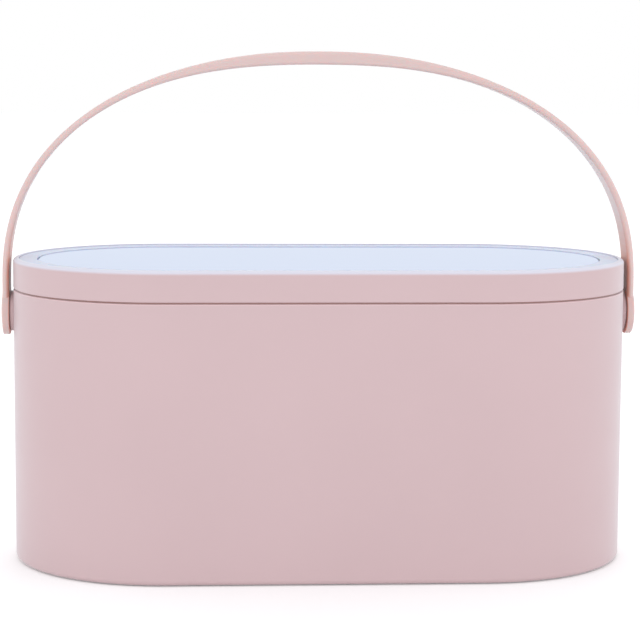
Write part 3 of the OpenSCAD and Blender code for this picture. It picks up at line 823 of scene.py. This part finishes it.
class MAKEUPCASE_OT_pins(Operator):
    """Model the pivot pins with their slightly domed heads"""
    bl_idname = "makeup_case.pins"
    bl_label = "Pivot pins"

    def execute(self, context):
        case, h, fit = context.scene.case_sizes, context.scene.handle_sizes, context.scene.fitting_sizes
        seat = h.pad_inner + h.pad_thickness - h.recess_depth + fit.head_gap
        top, r, head, dome = seat + fit.head_thickness, fit.pin_radius, fit.head_radius, 0.12 * MM
        clip_out = case.length / 2 - case.wall - fit.inner_boss_out - fit.washer
        clip_in, core = clip_out - fit.clip_width, r - fit.clip_depth
        tip = clip_in - fit.pin_tip
        section = fillet([
            (tip, 0), (tip, r, 0.5 * MM), (clip_in, r), (clip_in, core), (clip_out, core), (clip_out, r),
            (seat, r), (seat, head, CRISP), (top - dome, head, 0.55 * MM), (top, 0)], closed=False)
        for side, word in ((1, "right"), (-1, "left")):
            obj = turned(f"pin_{word}", section, (0, 0, PIVOT_Z), (side, 0, 0), 64)
            hand_over(obj, "pin_metal", "case", f"pivot_pin_{word}")
        return {"FINISHED"}


class MAKEUPCASE_OT_socket(Operator):
    """Model the charging socket: a drawn steel shell with rounded corners and its contact tongue"""
    bl_idname = "makeup_case.socket"
    bl_label = "Charging socket"

    def execute(self, context):
        case, fit = context.scene.case_sizes, context.scene.fitting_sizes
        mouth = case.depth / 2 - fit.socket_mouth
        middle = case.seam + fit.socket_rise + fit.socket_height / 2
        obj = rounded_bar(fit.socket_length, fit.socket_depth, fit.socket_height, 1.4 * MM,
                          (0, mouth - fit.socket_depth / 2, middle))
        obj.name = obj.data.name = "socket_shell"
        hollow_end = mouth + MM
        hollow_start = mouth - fit.socket_depth + fit.socket_back
        hollow = rounded_bar(fit.socket_length - 2 * fit.socket_wall, hollow_end - hollow_start,
                             fit.socket_height - 2 * fit.socket_wall, 1.1 * MM,
                             (0, (hollow_start + hollow_end) / 2, middle))
        combine(obj, hollow, "DIFFERENCE")
        width, depth, thickness = 6.6 * MM, 4.4 * MM, 0.7 * MM
        tongue = rounded_bar(width, depth, thickness, 0.15 * MM, (0, hollow_start + 1.8 * MM, middle))
        combine(obj, tongue, "UNION")
        hand_over(obj, "steel", "lid", "charging_socket")
        return {"FINISHED"}


class MAKEUPCASE_OT_stand(Operator):
    """Model the fold-out stand: a plate with rounded edges on a barrel, its pin and its rubber bumpers"""
    bl_idname = "makeup_case.stand"
    bl_label = "Stand"

    def execute(self, context):
        case, s = context.scene.case_sizes, context.scene.stand_sizes
        x, back, front, low = s.width / 2, s.pin_y, s.pin_y - s.length, case.seam - s.pin_drop
        corners = [(-x, back), (x, back), (x, front, s.corner), (-x, front, s.corner)]
        line = [Vector((p.x, p.y, low)) for p in fillet(corners, finest=radians(9))]
        obj = begin("stand")
        run_line(line + line[:1])
        bpy.ops.mesh.select_all(action="SELECT")
        bpy.ops.mesh.remove_doubles(threshold=MERGE)
        bpy.ops.mesh.edge_face_add()
        bpy.ops.mesh.extrude_region_move(TRANSFORM_OT_translate={"value": (0, 0, s.thickness)})
        close_up()
        select_edges(obj, lambda e: abs(e.verts[0].co.z - e.verts[1].co.z) < 0.1 * MM
                     and min(v.co.y for v in e.verts) < back - MM)
        bpy.ops.mesh.bevel(offset=s.edge_round, segments=4, affect="EDGES", clamp_overlap=False)
        bpy.ops.object.mode_set(mode="OBJECT")
        combine(obj, rod(s.thickness, (-x, back, low), (x, back, low), 64, 0.4 * MM), "UNION")
        combine(obj, rod(s.pin_radius + s.pin_gap, (-x - MM, back, low), (x + MM, back, low)), "DIFFERENCE")
        hand_over(obj, "pink_plastic", "stand", "fold_out_stand")
        reach = x + s.lug
        pin = rod(s.pin_radius, (-reach, back, low), (reach, back, low), 48, EASED)
        pin.name = pin.data.name = "hinge_pin"
        hand_over(pin, "steel", "lid", "stand_pin")
        low_pad, r = -s.pad_height, s.pad_radius
        section = fillet([(low_pad, 0), (low_pad, r, EASED), (0, r), (0, 0)], closed=False)
        pads = set_out(turned("bumpers", section, (0, 0, 0), (0, 0, 1), 32),
                       [(side * (x - s.corner), front + s.corner, low) for side in (1, -1)])
        hand_over(pads, "grey_rubber", "stand", "stand_bumpers")
        return {"FINISHED"}


class MAKEUPCASE_OT_screws(Operator):
    """Model the lid's screws with domed heads and cross recesses"""
    bl_idname = "makeup_case.screws"
    bl_label = "Lid screws"

    def execute(self, context):
        case, fit = context.scene.case_sizes, context.scene.fitting_sizes
        head, r, low, tip = fit.screw_head, fit.screw_radius, -fit.screw_head_height, fit.screw_length
        dome, taper = 0.15 * MM, 0.8 * MM
        obj = turned("screws", fillet([
            (low, 0), (low + dome, head - 0.6 * MM, 1.2 * MM), (low + 0.9 * MM, head, 0.4 * MM),
            (0, head, CRISP), (0, r), (tip - taper, r), (tip, r - taper), (tip, 0)], closed=False),
            (0, 0, 0), (0, 0, 1), 32)
        cross, slot, height = 2.8 * MM, 0.6 * MM, 2 * MM
        for length_x, length_y in ((cross, slot), (slot, cross)):
            combine(obj, rounded_bar(length_x, length_y, height, CRISP, (0, 0, low)), "DIFFERENCE")
        end, half, side_y = case.length / 2, case.depth / 2, case.depth / 2 - fit.screw_in_y
        spots = [(side * (end - fit.screw_end), 0) for side in (1, -1)]
        spots += [(a * (end - fit.screw_in_x), b * side_y) for a in (1, -1) for b in (1, -1)]
        spots += [(-fit.screw_back_x, side_y), (0, fit.screw_front_y - half)]
        obj = set_out(obj, [(x, y, case.seam - fit.tray) for x, y in spots])
        hand_over(obj, "steel", "lid", "lid_screws")
        return {"FINISHED"}


class MAKEUPCASE_OT_fittings(Operator):
    """Give the frame's own pieces their materials, for those that keep their shapes"""
    bl_idname = "makeup_case.fittings"
    bl_label = "Inner fittings"

    def execute(self, context):
        slots = {part["node"]: part["material_slot"] for part in frame["record"]["subparts"]}
        for name, obj in frame["nodes"].items():
            for slot in obj.material_slots:
                slot.material = finish(slots[name])
        return {"FINISHED"}


# ---------- stage ----------

class MAKEUPCASE_OT_stage(Operator):
    """Set up the pale floor, the soft lights and the camera"""
    bl_idname = "makeup_case.stage"
    bl_label = "Stage"

    def looked_at(self, tree):
        """1 for what the camera sees, directly, mirrored or through glass; 0 for light on the object."""
        path = tree.nodes.new("ShaderNodeLightPath")
        either = path.outputs["Is Camera Ray"]
        for ray in ("Is Glossy Ray", "Is Transmission Ray"):
            most = tree.nodes.new("ShaderNodeMath")
            most.operation = "MAXIMUM"
            tree.links.new(either, most.inputs[0])
            tree.links.new(path.outputs[ray], most.inputs[1])
            either = most.outputs[0]
        return either

    def floor(self):
        """A wide floor just under the feet, which keeps the object's shadow and shows white further off."""
        bpy.ops.object.select_all(action="DESELECT")
        bpy.ops.mesh.primitive_plane_add(size=12, location=(0, 0, -0.02 * MM))
        obj = bpy.context.object
        obj.name = "floor"
        material = bpy.data.materials.new("pale_floor")
        material.use_nodes = True
        tree = material.node_tree
        shader = tree.nodes["Principled BSDF"]
        shader.inputs["Base Color"].default_value = (0.93, 0.93, 0.93, 1)
        shader.inputs["Roughness"].default_value = 0.9
        shader.inputs["Specular IOR Level"].default_value = 0.1
        shader.inputs["Emission Color"].default_value = (1, 1, 1, 1)
        glow = tree.nodes.new("ShaderNodeMath")
        glow.operation = "MULTIPLY"
        glow.inputs[1].default_value = 0.17
        tree.links.new(self.looked_at(tree), glow.inputs[0])
        tree.links.new(glow.outputs[0], shader.inputs["Emission Strength"])
        obj.data.materials.append(material)

    def world(self):
        """A pale room that lights the object, and plain white where it is looked at."""
        world = bpy.data.worlds.new("pale_world")
        bpy.context.scene.world = world
        world.use_nodes = True
        tree = world.node_tree
        tree.nodes.clear()
        mix = tree.nodes.new("ShaderNodeMixShader")
        tree.links.new(self.looked_at(tree), mix.inputs["Fac"])
        for socket, tone, strength in ((1, (0.97, 0.98, 1, 1), 0.92), (2, (1, 1, 1, 1), 1)):
            light = tree.nodes.new("ShaderNodeBackground")
            light.inputs["Color"].default_value = tone
            light.inputs["Strength"].default_value = strength
            tree.links.new(light.outputs[0], mix.inputs[socket])
        output = tree.nodes.new("ShaderNodeOutputWorld")
        tree.links.new(mix.outputs[0], output.inputs["Surface"])

    def lamp(self, name, location, size, power):
        """A square lamp aimed at the middle of the case, which no mirror shows."""
        bpy.ops.object.light_add(type="AREA", location=location)
        obj = bpy.context.object
        obj.name = name
        obj.data.shape = "SQUARE"
        obj.data.size = size
        obj.data.energy = power
        obj.visible_glossy = False
        aim = Vector((0, 0, 0.1)) - Vector(location)
        obj.rotation_euler = aim.to_track_quat("-Z", "Y").to_euler()

    def camera(self):
        """The camera, turned to the right, tipped down and rolled by small angles."""
        turn, pitch, roll = 0.0597, 0.1207, 0.0058
        along = Vector((sin(turn) * cos(pitch), cos(turn) * cos(pitch), -sin(pitch)))
        right = Vector((cos(turn), -sin(turn), 0))
        up = right.cross(along)
        right, up = right * cos(roll) + up * sin(roll), up * cos(roll) - right * sin(roll)
        bpy.ops.object.camera_add()
        camera = bpy.context.object
        camera.matrix_world = Matrix((right, up, -along)).transposed().to_4x4()
        camera.location = (-0.058, -0.975, 0.2192)
        camera.data.sensor_fit = "HORIZONTAL"
        camera.data.sensor_width = 36
        camera.data.lens = 129.7
        camera.data.clip_start = 0.01
        bpy.context.scene.camera = camera

    def execute(self, context):
        self.floor()
        self.world()
        self.lamp("key", (-0.5, -1.6, 0.5), 1.4, 4.5)
        self.lamp("left", (-1.7, -0.5, 0.6), 1.4, 3)
        self.lamp("right", (1.6, -0.7, 0.4), 1.4, 5.5)
        self.lamp("back", (0.2, 1.3, 1.4), 1.2, 6)
        self.camera()
        context.scene.view_settings.view_transform = "Standard"
        return {"FINISHED"}


# ---------- panel and registration ----------

OPERATORS = (
    MAKEUPCASE_OT_fittings, MAKEUPCASE_OT_tub, MAKEUPCASE_OT_feet, MAKEUPCASE_OT_lid, MAKEUPCASE_OT_mirror,
    MAKEUPCASE_OT_handle, MAKEUPCASE_OT_pins, MAKEUPCASE_OT_socket, MAKEUPCASE_OT_stand, MAKEUPCASE_OT_screws,
    MAKEUPCASE_OT_stage,
)


class MAKEUPCASE_PT_panel(Panel):
    """Lists the pieces of the make-up case"""
    bl_idname = "MAKEUPCASE_PT_panel"
    bl_label = "Make-up case"
    bl_space_type = "VIEW_3D"
    bl_region_type = "UI"
    bl_category = "Make-up case"

    def draw(self, context):
        for operator in OPERATORS:
            self.layout.operator(operator.bl_idname)
        for group in GROUPS:
            settings = getattr(context.scene, group)
            for key in settings.bl_rna.properties.keys():
                if key not in ("rna_type", "name"):
                    self.layout.prop(settings, key)


GROUPS = {
    "case_sizes": CaseSizes, "lid_sizes": LidSizes, "handle_sizes": HandleSizes,
    "fitting_sizes": FittingSizes, "stand_sizes": StandSizes, "case_colours": CaseColours,
}


def register():
    for cls in (*GROUPS.values(), *OPERATORS, MAKEUPCASE_PT_panel):
        bpy.utils.register_class(cls)
    for name, cls in GROUPS.items():
        setattr(bpy.types.Scene, name, PointerProperty(type=cls))


def unregister():
    for name in GROUPS:
        delattr(bpy.types.Scene, name)
    for cls in reversed((*GROUPS.values(), *OPERATORS, MAKEUPCASE_PT_panel)):
        bpy.utils.unregister_class(cls)


def main():
    register()
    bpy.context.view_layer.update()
    for operator in OPERATORS:
        group, name = operator.bl_idname.split(".")
        getattr(getattr(bpy.ops, group), name)()


if __name__ == "__main__":
    main()
